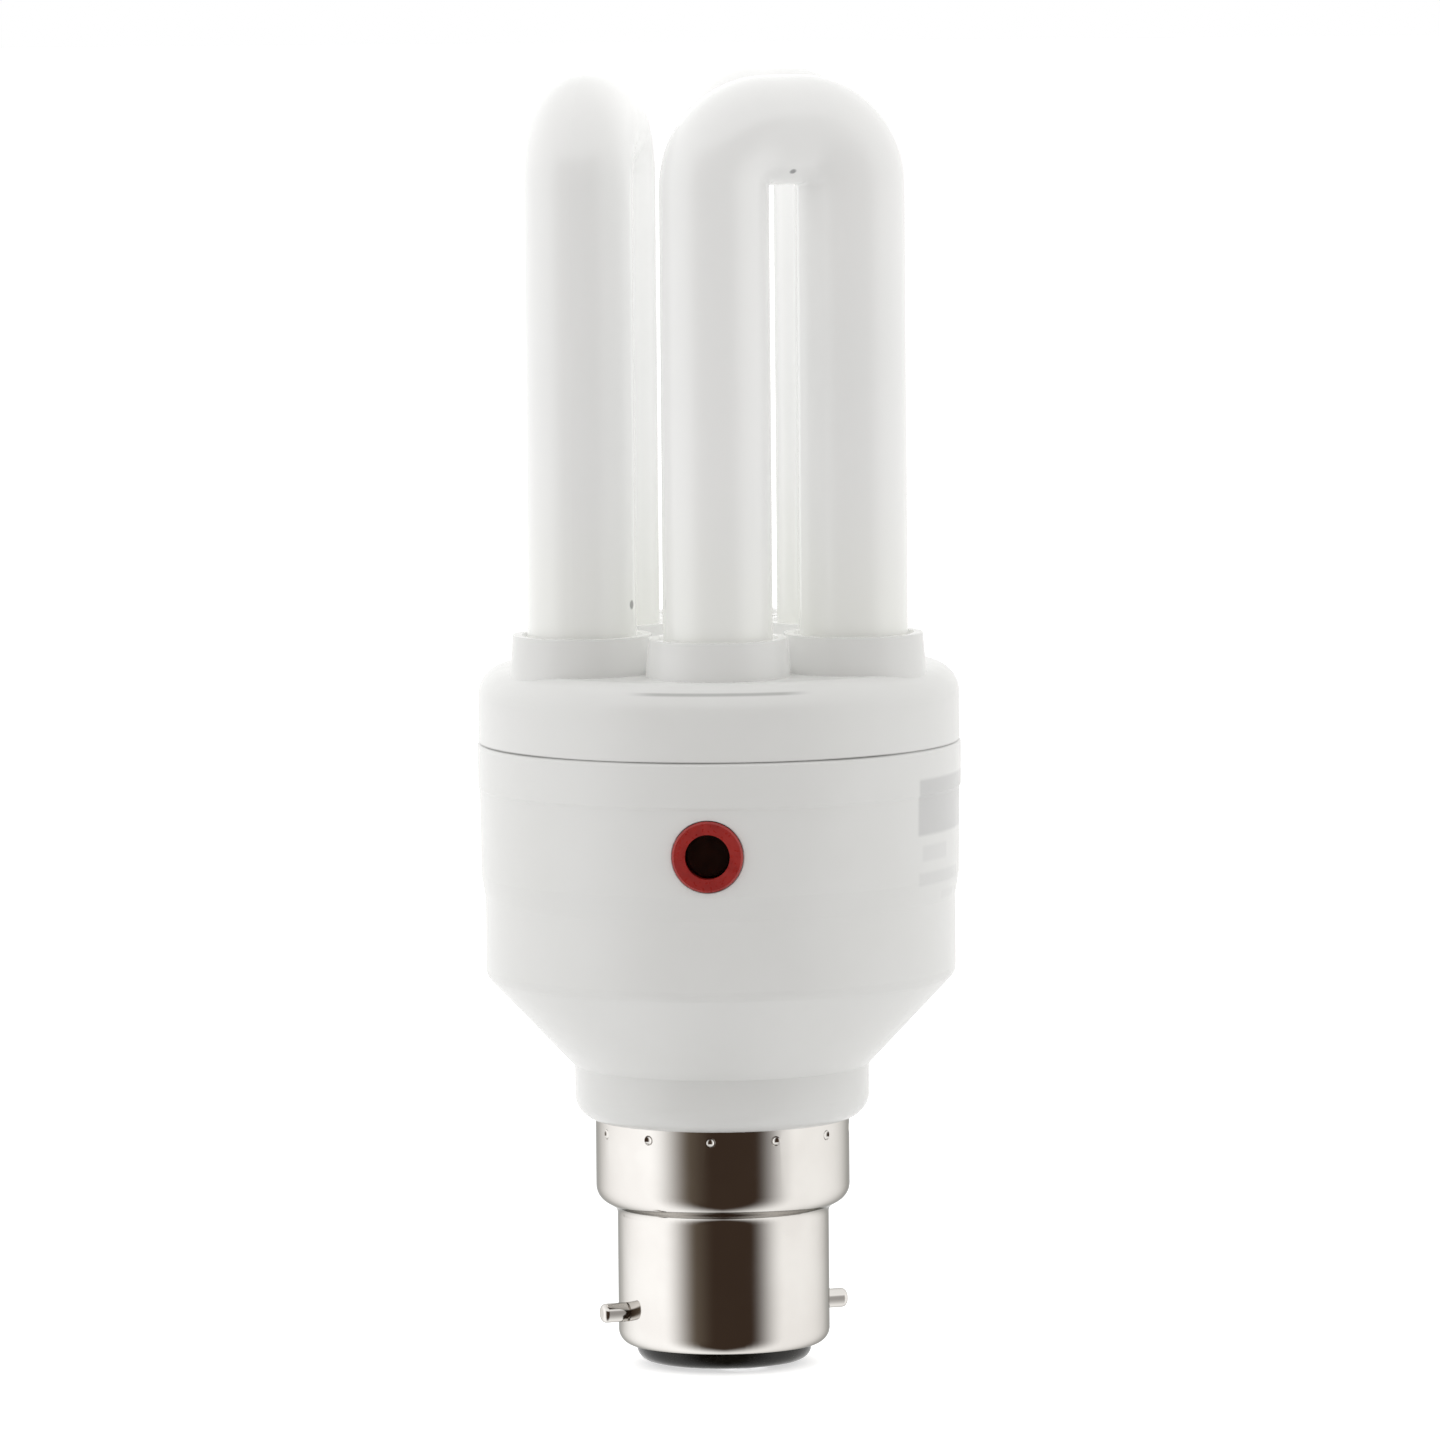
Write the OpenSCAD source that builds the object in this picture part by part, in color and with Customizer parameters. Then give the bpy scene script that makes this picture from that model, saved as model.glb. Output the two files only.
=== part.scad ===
// Compact fluorescent lamp with three U-shaped tubes, a dusk sensor and a
// two-pin bayonet cap. It stands on its cap, with +Z up and the sensor at -Y.
// All heights are above the flat lower face of the cap's insulator.

/* [Cap] */
// Diameter of the cap's narrow cylinder
cap_d = 22; // [21:0.1:23]
// Diameter of the cap's wide collar
cap_collar_d = 26.4; // [25.6:0.1:27.6]
// Thickness of the cap's metal
cap_wall = 0.4; // [0.3:0.05:0.6]
// Height of the rolled lower edge
cap_foot_z = 1.7; // [1.5:0.1:2.4]
// Outer radius of the rolled lower edge
cap_roll_r = 1.6; // [1:0.1:1.8]
// Height where the narrow cylinder widens
cap_step_z = 16; // [14:0.1:16.5]
// Slope of the face there, from level
cap_step_a = 30; // [25:1:45]
// Radius that fills the corner below that face
cap_fillet_r = 1; // [0.5:0.1:1.2]
// Radius that rounds the shoulder above that face
cap_shoulder_r = 2; // [1:0.1:2.2]
// Height of the cap's upper rim
cap_rim_z = 25.4; // [24.6:0.1:26.2]
// Number of dimples punched in below the rim
dimple_n = 12; // [8:1:16]
// Distance from the rim down to the dimples
dimple_drop = 1.1; // [1.1:0.1:2.5]
// Radius of the punch that made a dimple
dimple_r = 0.6; // [0.4:0.05:0.8]
// Depth of a dimple
dimple_depth = 0.3; // [0.2:0.05:0.35]
// Turn of the ring of dimples
dimple_turn = 24.5; // [0:0.5:30]

/* [Bayonet pins] */
// Diameter of a pin
pin_d = 2; // [1.8:0.1:2.2]
// Distance from the tip of one pin to the tip of the other
pin_span = 27.5; // [26:0.1:28]
// Radius that rounds a pin's tip
pin_round = 0.5; // [0.2:0.1:0.8]
// Height of the pins
pin_z = 5.55; // [5.3:0.05:7]
// Angle of the line of the pins from the X axis
pin_turn = 22.5; // [0:0.5:45]
// Diameter of a pin's shank in the cap's wall
pin_shank_d = 1.6; // [1.2:0.05:1.7]
// Diameter of a pin's head inside the cap
pin_head_d = 3; // [2.6:0.1:3.4]
// Thickness of a pin's head
pin_head_h = 0.35; // [0.25:0.05:0.5]

/* [Insulator and contacts] */
// Diameter of the insulator where it shows
insulator_d = 18.2; // [17:0.1:18.4]
// Radius that rounds the insulator's lower edge
insulator_round = 1.5; // [0.5:0.1:1.6]
// Height of the insulator's middle boss
insulator_boss_z = 7; // [6:0.1:8]
// Diameter of the insulator's middle boss
insulator_boss_d = 17; // [16:0.1:18]
// Diameter of a contact
contact_d = 4.8; // [4:0.1:5.4]
// Distance between the middles of the two contacts
contact_pitch = 10; // [9:0.1:11]
// How far a contact's dome stands below the insulator
contact_proud = 0.4; // [0.2:0.05:0.6]
// Thickness of a contact's plate
contact_h = 0.6; // [0.4:0.05:0.9]
// Diameter of the contact's hollow shank
shank_d = 2; // [1.8:0.1:2.4]

/* [Housing] */
// Height of the seam between housing and cover
seam_z = 64.8; // [63.5:0.1:67]
// Diameter at the seam
seam_d = 50.2; // [49.6:0.1:52]
// Height of the slightly wider band below the seam
band_h = 4.6; // [3:0.1:6]
// How far the band stands out from the side below it
band_proud = 0.2; // [0.1:0.05:0.4]
// Height of the soft step in the side
side_step_z = 49.8; // [47:0.1:53]
// How far the foot of the side lies in from the side above it
foot_in = 0.5; // [0.2:0.05:0.8]
// Height where the side turns into the cone
corner_z = 40.6; // [39:0.1:43]
// Radius that rounds that corner
corner_r = 1.6; // [0.6:0.1:2.5]
// Height of the foot of the cone
cone_foot_z = 31; // [30:0.1:33]
// Diameter of the neck
neck_d = 30.6; // [29:0.1:32]
// Height where the neck starts to curve in to the cap
neck_foot_z = 28; // [27.4:0.1:29.5]
// Wall of the mouldings
wall = 1.5; // [1.2:0.1:1.8]
// Wall of the spigot that goes into the cap
spigot_wall = 1.4; // [1.1:0.1:1.8]
// Depth of the spigot in the cap
spigot_h = 6.4; // [5:0.1:7]
// Number of ribs that carry the circuit board
rib_n = 6; // [3:1:8]
// Thickness of a rib
rib_t = 1.4; // [1:0.1:2]

/* [Cover] */
// How far the cover's side lies in from the seam
cover_in = 0.15; // [0.1:0.05:0.4]
// Height of the deck that the tubes come out of
deck_z = 72.7; // [71.5:0.1:75]
// Thickness of the deck
deck_wall = 1.6; // [1.2:0.1:2]
// Radius that rounds the cover's shoulder
shoulder_r = 3; // [2.2:0.1:4]
// Height of the collars above the deck
collar_h = 3.9; // [2.5:0.1:5]
// Wall of a collar at its rim
collar_wall = 1.3; // [1:0.05:1.5]
// How much wider a collar is at its foot
collar_flare = 0.4; // [0.2:0.05:0.6]
// Clearance between a collar and its tube
collar_gap = 0.2; // [0.1:0.05:0.3]
// Height of the cover's lip inside the housing
lip_h = 2.5; // [2:0.1:3]
// Wall of the lip
lip_wall = 1.2; // [0.9:0.1:1.4]
// How far the lip's snap bead stands out
bead_r = 0.35; // [0.2:0.05:0.45]

/* [Discharge tube] */
// Outer diameter of the glass tube
tube_d = 11.3; // [10.5:0.1:11.8]
// Distance between the two limbs of one U
limb_pitch = 15; // [14.6:0.1:15.6]
// Distance from the lamp's axis to the middle of a U
u_offset = 12.9; // [12.6:0.1:13.4]
// Radius of the tube's middle line at a bend
bend_r = 5.8; // [5.8:0.1:7.2]
// Height of the top of the tubes
tube_top_z = 134.2; // [110:0.1:150]
// Height of the sealed lower ends
tube_end_z = 65.7; // [65:0.1:66.2]
// Radius that rounds the sealed lower ends
tube_end_r = 2; // [1:0.1:3]
// Direction of the first U from the axis
u_turn = -57.4; // [-60:0.1:-55]
// Twist of each U about its own middle
u_twist = -11.4; // [-14:0.2:-8]
// Diameter of the bridges that join the U tubes
bridge_d = 3.6; // [3:0.1:3.8]
// Height of the bridges
bridge_z = 67.4; // [67.2:0.1:67.8]
// Diameter of the sealed exhaust tip
tip_d = 3; // [2.4:0.1:3.4]
// Length of the sealed exhaust tip
tip_h = 2; // [1:0.1:2.4]

/* [Sensor] */
// Height of the sensor
sensor_z = 55.2; // [54:0.1:56]
// Angle of the sensor from straight ahead, to the left
sensor_turn = 3; // [-10:0.5:10]
// Diameter of the sensor's red ring
ring_d = 7.3; // [6.6:0.1:7.8]
// How far the ring stands out of the housing
ring_proud = 0.3; // [0.2:0.05:0.6]
// Thickness of the ring's flange
flange_h = 0.8; // [0.6:0.05:1]
// Diameter of the ring's sleeve in the wall
sleeve_d = 6.2; // [5.8:0.1:6.3]
// Length of the sleeve behind the flange
sleeve_h = 4.2; // [3.4:0.1:4.6]
// Diameter of the ring's opening
window_d = 4.6; // [4:0.1:4.8]
// Depth of the photocell's face behind the ring's front
window_depth = 1.8; // [1.2:0.1:2.4]
// Length of the photocell's body
photocell_h = 3; // [2.4:0.1:3.4]

/* [Circuit board] */
// Distance from the seam down to the board's top
board_drop = 2.6; // [2.55:0.05:3]
// Thickness of the board
board_t = 1.6; // [1.2:0.1:1.8]
// Diameter of a component's lead
lead_d = 0.6; // [0.5:0.05:0.8]
// Length of a lead above the board
lead_end = 1; // [0.6:0.1:1.4]
// Diameter of the electrolytic capacitor
electrolytic_d = 10; // [8:0.1:10.5]
// Length of the electrolytic capacitor
electrolytic_h = 18; // [14:0.5:22]
// Width of the choke's core, along Y
choke_w = 16; // [14:0.1:17]
// Depth of the choke's core, along X
choke_t = 5; // [4:0.1:6]
// Height of the choke's core
choke_h = 14; // [12:0.1:16]
// Outer size of the choke's winding, along X
winding_t = 11.6; // [11:0.1:12.4]
// Outer diameter of the ring transformer
toroid_d = 9; // [8:0.1:9.6]
// Height of the ring transformer
toroid_h = 4; // [3:0.1:5]
// Length of the large film capacitor
film_l = 10; // [8:0.1:11]
// Thickness of the film capacitors
film_t = 5; // [4:0.1:5.4]
// Height of the large film capacitor
film_h = 11; // [9:0.1:13]
// Diameter of the filter coil
coil_d = 8; // [6.5:0.1:8.4]
// Height of the filter coil
coil_h = 9; // [7:0.1:11]

/* [Wires] */
// Diameter of the supply leads' insulation
supply_d = 1.4; // [1.1:0.1:1.6]
// Diameter of the supply leads' copper
core_d = 0.7; // [0.5:0.05:0.8]
// Diameter of the tube's lead wires
tube_wire_d = 0.5; // [0.4:0.05:0.6]
// Width of the wire posts
post_w = 0.9; // [0.7:0.05:1]
// Height of the wire posts
post_h = 2.6; // [2.2:0.1:2.8]

/* [Hidden] */
$fn = 96;

// Everything is lifted so that the contacts' domes end at height 0
z0 = contact_proud;
// Clearance between parts that are slid together
fit = 0.1;
// Clearance between parts that are pressed together
snug = 0.02;
// Overshoot of a cutting shape
cut = 1;

// Sizes that follow from the cap
cap_r = cap_d / 2;
collar_r = cap_collar_d / 2;
cap_widen = collar_r - cap_r;
spigot_r = collar_r - cap_wall - fit;
punch_x = collar_r + dimple_r - dimple_depth;
nub_r = dimple_r + cap_wall;
dimple_z = cap_rim_z - max(dimple_drop, nub_r + fit);
pin_root = sqrt(pow(cap_r - cap_wall, 2) - pow(pin_head_d / 2, 2)) - fit / 2;
pin_shoulder = cap_r + fit;
insulator_rim_z = pin_z - pin_head_d / 2 - fit;
// How far a contact's shank stands out of the boss
shank_end = 0.6;

// Sizes that follow from the housing
seam_r = seam_d / 2;
side_r = seam_r - band_proud;
foot_r = side_r - foot_in;
cover_r = seam_r - cover_in;
neck_r = neck_d / 2;
neck_end_r = collar_r + fit;
neck_drop = neck_foot_z - cap_rim_z;
neck_in = neck_r - neck_end_r;
neck_arc_r = (pow(neck_in, 2) + pow(neck_drop, 2)) / (2 * neck_in);
cone_a = atan2(foot_r - neck_r, corner_z - cone_foot_z);
corner_t = corner_r * tan(cone_a / 2);
cone_shift = wall * tan((90 - cone_a) / 2);
housing_in_r = seam_r - wall - 0.1;
groove_z = seam_z - lip_h / 2;
// Broken edges, the soft step in the side and the gap at the seam
edge = 0.3;
spigot_edge = 0.5;
step_half = 1.2;
seam_gap = 0.05;
// A rib: how far it goes into the wall and reaches in, and the height of its slope
rib_root = 0.4;
rib_reach = 1.6;
rib_slope = 4;
board_z = seam_z - board_drop;
board_low_z = board_z - board_t;
board_r = housing_in_r - 3 * fit;

// Limbs of the discharge tube, as [x, y], in the order of the discharge
function turned(r, a) = [r * cos(a), r * sin(a)];
u_angles = [u_turn, u_turn + 120, u_turn + 240];
function u_mid(i) = turned(u_offset, u_angles[i]);
function limb(i, side) = u_mid(i)
    + turned(side * limb_pitch / 2, u_angles[i] + 90 + u_twist);
limbs = [for (i = [0:2]) for (side = [-1, 1]) limb(i, side)];
collar_in_r = tube_d / 2 + collar_gap;
collar_out_r = collar_in_r + collar_wall;
collar_root = 0.6 * deck_wall;
collar_bevel = 0.4;
cement_r = collar_out_r + 0.8;

// Board positions of the components, as [x, y]
choke_at = [-10.3, 0];
electrolytic_at = [3.4, 0];
toroid_at = [14.2, 0];
resonant_at = [3.5, -10.5];
coupling_at = [3.5, 10.5];
front_transistor_at = [14, -9.5];
rear_transistor_at = [14, 9.5];
coil_at = [-6, 13.4];
fuse_at = [-5.5, -12.8];
diode_pitch = 3.4;
diode_l = 5.2;
diode_d = 2.7;
resistor_l = 6.3;
resistor_d = 2.3;
resistor_turns = [-132, 142, 76];
resistor_out = 18;
transistor_w = 7.6;
transistor_t = 3;
transistor_h = 10.5;
stand_off = 0.3;
// How far a lead starts inside its component
lead_root = 0.4;

// Holes in the board, one list for each component
function pair(at, half) = [at + [-half, 0], at + [half, 0]];
choke_pads = [for (x = [-4, 4]) for (y = [-5, 5]) choke_at + [x, y]];
electrolytic_pads = pair(electrolytic_at, electrolytic_d / 4);
toroid_pads = [for (a = [30:60:330])
    toroid_at + turned(toroid_d / 2 + 0.9, a)];
resonant_pads = pair(resonant_at, film_l / 4);
coupling_pads = pair(coupling_at, film_l / 4);
front_transistor_pads = [for (x = [-2.3, 0, 2.3]) front_transistor_at + [x, 0]];
rear_transistor_pads = [for (x = [-2.3, 0, 2.3]) rear_transistor_at + [x, 0]];
coil_pads = pair(coil_at, coil_d / 4);
fuse_pads = pair(fuse_at, 1.6);
diode_pads = [for (i = [0:3]) for (side = [-1, 1])
    [side * (diode_l / 2 + 1), (i - 1.5) * diode_pitch]];
resistor_pads = [for (a = resistor_turns) for (side = [-1, 1])
    turned(resistor_out, a) + turned(side * (resistor_l / 2 + 0.9), a + 90)];
// The two supply leads and the sensor's two leads
supply_x = 7.6;
supply_half = 5.6;
supply_pads = [[supply_x, -supply_half], [supply_x, supply_half]];
sensor_lead_half = 1.27;
sensor_pad_r = 16.4;
sensor_dir = -90 - sensor_turn;
sensor_pads = [for (side = [-1, 1]) turned(sensor_pad_r, sensor_dir)
    + turned(side * sensor_lead_half, sensor_dir + 90)];
// Posts for the tube's lead wires, just inside the two end limbs
end_limbs = [limbs[0], limbs[5]];
post_in = 4.9;
post_half = 2.2;
// How far posts and diode leads stand out below the board
stub = 0.2;
function toward_axis(p, d) = p * (1 - d / norm(p));
function post(p, side) = toward_axis(p, post_in)
    + turned(side * post_half, atan2(p[1], p[0]) + 90);
posts = [for (p = end_limbs) for (side = [-1, 1]) post(p, side)];
all_pads = concat(choke_pads, electrolytic_pads, toroid_pads, resonant_pads,
    coupling_pads, front_transistor_pads, rear_transistor_pads, coil_pads,
    fuse_pads, diode_pads, resistor_pads, sensor_pads);

// A rod from height low to height high
module rod(at, r, low, high) {
    translate([at[0], at[1], z0 + low]) cylinder(r = r, h = high - low, $fn = 32);
}

// Leads that hold a component to the board from below
module pins_up(pads, from_z) {
    for (p = pads) rod(p, lead_d / 2, from_z, board_z + lead_end);
}

// A box that hangs below the board
module hung_box(at, w, t, h) {
    translate([at[0] - w / 2, at[1] - t / 2, z0 + board_low_z - stand_off - h])
        cube([w, t, h]);
}

// The closed outline of a wire: rings swept along its points
function unit(v) = v / norm(v);
function along(pts, i) = unit(pts[min(i + 1, len(pts) - 1)] - pts[max(i - 1, 0)]);
function side_of(d) = unit(cross(d, abs(d[2]) > 0.9 ? [1, 0, 0] : [0, 0, 1]));
function carried(pts, i) = i == 0 ? side_of(along(pts, 0))
    : let (s = carried(pts, i - 1), d = along(pts, i)) unit(s - d * (s * d));
module wire(pts, r, sides = 8) {
    n = len(pts);
    rings = [for (i = [0:n - 1])
        let (d = along(pts, i), u = carried(pts, i), v = cross(d, u))
        for (k = [0:sides - 1])
            pts[i] + r * (cos(360 * k / sides) * u + sin(360 * k / sides) * v)];
    walls = [for (i = [0:n - 2]) for (k = [0:sides - 1])
        let (j = (k + 1) % sides)
        [i * sides + j, i * sides + k, (i + 1) * sides + k, (i + 1) * sides + j]];
    ends = [[for (k = [0:sides - 1]) k],
        [for (k = [sides - 1:-1:0]) (n - 1) * sides + k]];
    polyhedron(points = rings, faces = concat(walls, ends), convexity = 6);
}
// A smooth path between two points that leaves and arrives in given directions
function bent(a, da, b, db, steps = 12) = [for (i = [0:steps])
    let (t = i / steps, s = 1 - t)
    a * s * s * s + 3 * s * s * t * (a + da) + 3 * s * t * t * (b - db) + b * t * t * t];

// Half section of the cap, moved in by the thickness given
module cap_section(inset) {
    top = cap_rim_z + (inset > 0 ? cut : 0);
    half_turn = tan((90 - cap_step_a) / 2);
    r1 = cap_r - inset;
    r2 = collar_r - inset;
    roll = cap_roll_r - inset;
    step = cap_step_z + inset * half_turn;
    fill = cap_fillet_r + inset;
    fill_t = fill * half_turn;
    shoulder = step + cap_widen * tan(cap_step_a);
    sh = cap_shoulder_r - inset;
    sh_t = sh * half_turn;
    difference() {
        polygon([[0, cap_foot_z + inset], [r1 - roll, cap_foot_z + inset],
            [r1, cap_foot_z + cap_roll_r], [r1, step - fill_t],
            [r1 + fill_t * cos(cap_step_a), step + fill_t * sin(cap_step_a)],
            [r2 - sh_t * cos(cap_step_a), shoulder - sh_t * sin(cap_step_a)],
            [r2, shoulder + sh_t], [r2, top], [0, top]]);
        translate([r1 + fill, step - fill_t]) circle(r = fill);
    }
    intersection() {
        translate([r1 - roll, cap_foot_z + cap_roll_r]) circle(r = roll);
        translate([r1 - roll, 0]) square([cap_r, cap_foot_z + cap_roll_r]);
    }
    translate([r2 - sh, shoulder + sh_t]) circle(r = sh);
}

module dimples(r) {
    for (i = [0:dimple_n - 1]) rotate([0, 0, i * 360 / dimple_n + dimple_turn])
        translate([punch_x, 0, z0 + dimple_z]) sphere(r = r, $fn = 32);
}

module cap_shell() {
    color("gainsboro")
    difference() {
        union() {
            translate([0, 0, z0]) rotate_extrude() difference() {
                cap_section(0);
                cap_section(cap_wall);
                square([insulator_d / 2 + snug, cap_foot_z + cap_wall + cut]);
            }
            intersection() {
                dimples(nub_r);
                translate([0, 0, z0 + cap_rim_z - spigot_h])
                    cylinder(r = collar_r - cap_wall / 2, h = spigot_h - snug);
            }
        }
        dimples(dimple_r);
        rotate([0, 0, pin_turn]) translate([-collar_r, 0, z0 + pin_z])
            rotate([0, 90, 0]) cylinder(r = pin_shank_d / 2 + snug, h = 2 * collar_r);
    }
}

// A pin with a shoulder on the cap, a narrower shank and a head inside
module bayonet_pin(turn) {
    r = pin_d / 2;
    shank = pin_shank_d / 2;
    tip = pin_span / 2;
    neck = pin_root - pin_head_h;
    color("silver")
    rotate([0, 0, turn]) translate([0, 0, z0 + pin_z]) rotate([0, 90, 0])
        rotate_extrude($fn = 48) {
            polygon([[0, neck], [pin_head_d / 2, neck], [pin_head_d / 2, pin_root],
                [shank, pin_root], [shank, pin_shoulder], [r, pin_shoulder],
                [r, tip - pin_round], [r - pin_round, tip], [0, tip]]);
            translate([r - pin_round, tip - pin_round]) intersection() {
                circle(r = pin_round);
                square(pin_round);
            }
        }
}

// The two contacts lie on a line square to the line of the pins
function contact_at(side) = turned(side * contact_pitch / 2, pin_turn + 90);

module cap_insulator() {
    r = insulator_d / 2;
    rim_r = cap_r - cap_wall - fit;
    rim_low = cap_foot_z + cap_wall + fit / 2;
    roll = cap_roll_r - cap_wall;
    color("dimgray")
    difference() {
        translate([0, 0, z0]) rotate_extrude() {
            polygon([[0, 0], [r - insulator_round, 0], [r, insulator_round],
                [r, rim_low], [rim_r - roll + fit, rim_low],
                [rim_r, rim_low + roll], [rim_r, insulator_rim_z],
                [insulator_boss_d / 2, insulator_rim_z],
                [insulator_boss_d / 2, insulator_boss_z], [0, insulator_boss_z]]);
            translate([r - insulator_round, insulator_round])
                circle(r = insulator_round);
        }
        for (side = [-1, 1]) {
            rod(contact_at(side), contact_d / 2 + snug, -cut, contact_h);
            rod(contact_at(side), shank_d / 2 + snug, 0, insulator_boss_z + cut);
        }
    }
}

module contact(side) {
    dome_r = (pow(contact_d / 2, 2) + pow(contact_proud, 2)) / (2 * contact_proud);
    at = contact_at(side);
    color("darkgray")
    difference() {
        translate([at[0], at[1], 0]) rotate_extrude($fn = 64) {
            intersection() {
                translate([0, dome_r]) circle(r = dome_r, $fn = 256);
                square([contact_d / 2, z0]);
            }
            translate([0, z0]) square([contact_d / 2, contact_h]);
            translate([0, z0]) square([shank_d / 2, insulator_boss_z + shank_end]);
        }
        rod(at, core_d / 2 + snug, contact_h, insulator_boss_z + cut);
    }
}

// Half section of the housing's outside
module housing_section() {
    polygon([[0, cap_rim_z], [neck_end_r, cap_rim_z], [neck_r, neck_foot_z],
        [neck_r, cone_foot_z],
        [foot_r - corner_t * sin(cone_a), corner_z - corner_t * cos(cone_a)],
        [foot_r, corner_z + corner_t], [foot_r, side_step_z - step_half],
        [side_r - fit, side_step_z + step_half], [side_r, seam_z - band_h - edge],
        [seam_r - seam_gap, seam_z - band_h], [seam_r, seam_z - edge],
        [seam_r - edge, seam_z], [0, seam_z]]);
    translate([foot_r - corner_r, corner_z + corner_t]) circle(r = corner_r);
    intersection() {
        translate([neck_r - neck_arc_r, neck_foot_z]) circle(r = neck_arc_r);
        translate([0, cap_rim_z]) square([seam_r, neck_drop]);
    }
}

module housing() {
    in_foot = foot_r - wall;
    in_neck = spigot_r - spigot_wall;
    low = cap_rim_z - spigot_h;
    sensor_hole = sleeve_d / 2 + fit;
    color("whitesmoke")
    difference() {
        union() {
            translate([0, 0, z0]) rotate_extrude() difference() {
                union() {
                    housing_section();
                    translate([0, low + spigot_edge]) square([spigot_r, spigot_h + cut]);
                    polygon([[0, low], [spigot_r - spigot_edge, low],
                        [spigot_r, low + spigot_edge], [0, low + cut]]);
                }
                polygon([[0, low - cut], [in_neck, low - cut],
                    [in_neck, cone_foot_z + cone_shift - (neck_r - wall - in_neck)],
                    [neck_r - wall, cone_foot_z + cone_shift],
                    [in_foot, corner_z + cone_shift],
                    [in_foot, side_step_z - step_half],
                    [side_r - wall, side_step_z + step_half],
                    [side_r - wall, board_low_z - 2 * cut],
                    [housing_in_r, board_low_z - cut],
                    [housing_in_r, seam_z + cut], [0, seam_z + cut]]);
                translate([housing_in_r, groove_z]) circle(r = bead_r + fit / 2, $fn = 24);
            }
            // Ribs under the board, which skip the sensor
            for (i = [0:rib_n - 1]) {
                a = sensor_dir + (i + 0.5) * 360 / rib_n;
                translate([0, 0, z0 + corner_z]) rotate([90, 0, a])
                    translate([0, 0, -rib_t / 2]) linear_extrude(rib_t)
                        polygon([[in_foot + rib_root, 0], [in_foot - rib_reach, rib_slope],
                            [in_foot - rib_reach, board_low_z - corner_z],
                            [side_r - wall + rib_root, board_low_z - corner_z]]);
            }
        }
        dimples(nub_r + fit / 2);
        // Round hole and flat seat for the sensor's ring
        rotate([0, 0, sensor_dir]) translate([0, 0, z0 + sensor_z])
            rotate([0, 90, 0]) {
                cylinder(r = sensor_hole, h = seam_d);
                translate([0, 0, seat_x()]) cylinder(r = ring_d / 2 + fit, h = wall + cut);
            }
    }
}

// Distance from the axis to the flat seat of the sensor's ring
function seat_x() = side_r + ring_proud - flange_h - snug;

// Half section of the space inside the cover, above its lip
module cavity_section(gap) {
    low = seam_z + 2 * cut;
    r = cover_r - wall - gap;
    sh = shoulder_r - wall - gap;
    top = deck_z - deck_wall - gap;
    translate([0, low]) square([r, top - sh - low]);
    translate([0, low]) square([r - sh, top - low]);
    translate([r - sh, top - sh]) circle(r = sh);
}

module cover() {
    r = cover_r;
    sh = shoulder_r;
    low = seam_z + seam_gap;
    in_top = deck_z - deck_wall;
    lip_r = housing_in_r - fit;
    color("whitesmoke")
    difference() {
        union() {
            translate([0, 0, z0]) rotate_extrude() difference() {
                union() {
                    translate([0, low]) square([r, deck_z - sh - low]);
                    translate([0, low]) square([r - sh, deck_z - low]);
                    translate([r - sh, deck_z - sh]) circle(r = sh);
                    translate([0, seam_z - lip_h]) square([lip_r, lip_h + cut]);
                    translate([lip_r, groove_z]) circle(r = bead_r, $fn = 24);
                }
                translate([0, seam_z - lip_h - cut])
                    square([lip_r - lip_wall, lip_h + 2 * cut]);
                translate([0, seam_z]) square([lip_r - lip_wall, 3 * cut]);
                cavity_section(0);
            }
            for (p = limbs) translate([p[0], p[1], z0 + deck_z - collar_root])
                cylinder(r1 = collar_out_r + collar_flare, r2 = collar_out_r,
                    h = collar_h + collar_root);
        }
        for (p = limbs) {
            rod(p, collar_in_r, in_top - cut, deck_z + collar_h + cut);
            translate([p[0], p[1], z0 + deck_z + collar_h - collar_bevel + snug])
                cylinder(r1 = collar_in_r, r2 = collar_in_r + collar_bevel, h = collar_bevel);
        }
    }
}

module u_tube(i) {
    r = tube_d / 2;
    h = limb_pitch / 2 - bend_r;
    top = tube_top_z - r - bend_r;
    low = tube_end_z + tube_end_r;
    m = u_mid(i);
    translate([m[0], m[1], z0]) rotate([0, 0, u_angles[i] + 90 + u_twist]) {
        for (side = [0, 1]) mirror([side, 0, 0]) {
            translate([limb_pitch / 2, 0, low]) {
                cylinder(r = r, h = top - low);
                rotate_extrude() intersection() {
                    union() {
                        translate([r - tube_end_r, 0]) circle(r = tube_end_r);
                        translate([0, -tube_end_r]) square([r - tube_end_r, tube_end_r]);
                    }
                    translate([0, -tube_end_r]) square([r, tube_end_r]);
                }
            }
            translate([h, 0, top]) rotate([90, 0, 0])
                rotate_extrude(angle = 90) translate([bend_r, 0]) circle(r = r);
        }
        translate([-h, 0, top + bend_r]) rotate([0, 90, 0])
            cylinder(r = r, h = 2 * h);
    }
}

module discharge_tube() {
    color("white")
    difference() {
        union() {
            for (i = [0:2]) u_tube(i);
            // Bridges: second limb of each U to the first limb of the next
            for (i = [0, 1]) {
                a = limbs[2 * i + 1];
                b = limbs[2 * i + 2];
                d = b - a;
                translate([a[0], a[1], z0 + bridge_z])
                    rotate([0, 90, atan2(d[1], d[0])])
                        cylinder(r = bridge_d / 2, h = norm(d), $fn = 48);
            }
            rod(limbs[2], tip_d / 2, tube_end_z - tip_h, tube_end_z + cut);
        }
        for (p = lead_starts())
            rod(p, tube_wire_d / 2 + fit, tube_end_z - cut, tube_end_z + cut);
    }
}

// A ring of cement round all six limbs, under the deck
module tube_cement() {
    color("ivory")
    difference() {
        intersection() {
            for (p = limbs) rod(p, cement_r, bridge_z + bridge_d / 2 + fit, deck_z);
            translate([0, 0, z0]) rotate_extrude() cavity_section(snug);
        }
        for (p = limbs) rod(p, tube_d / 2 + snug, bridge_z, deck_z);
    }
}

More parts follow.
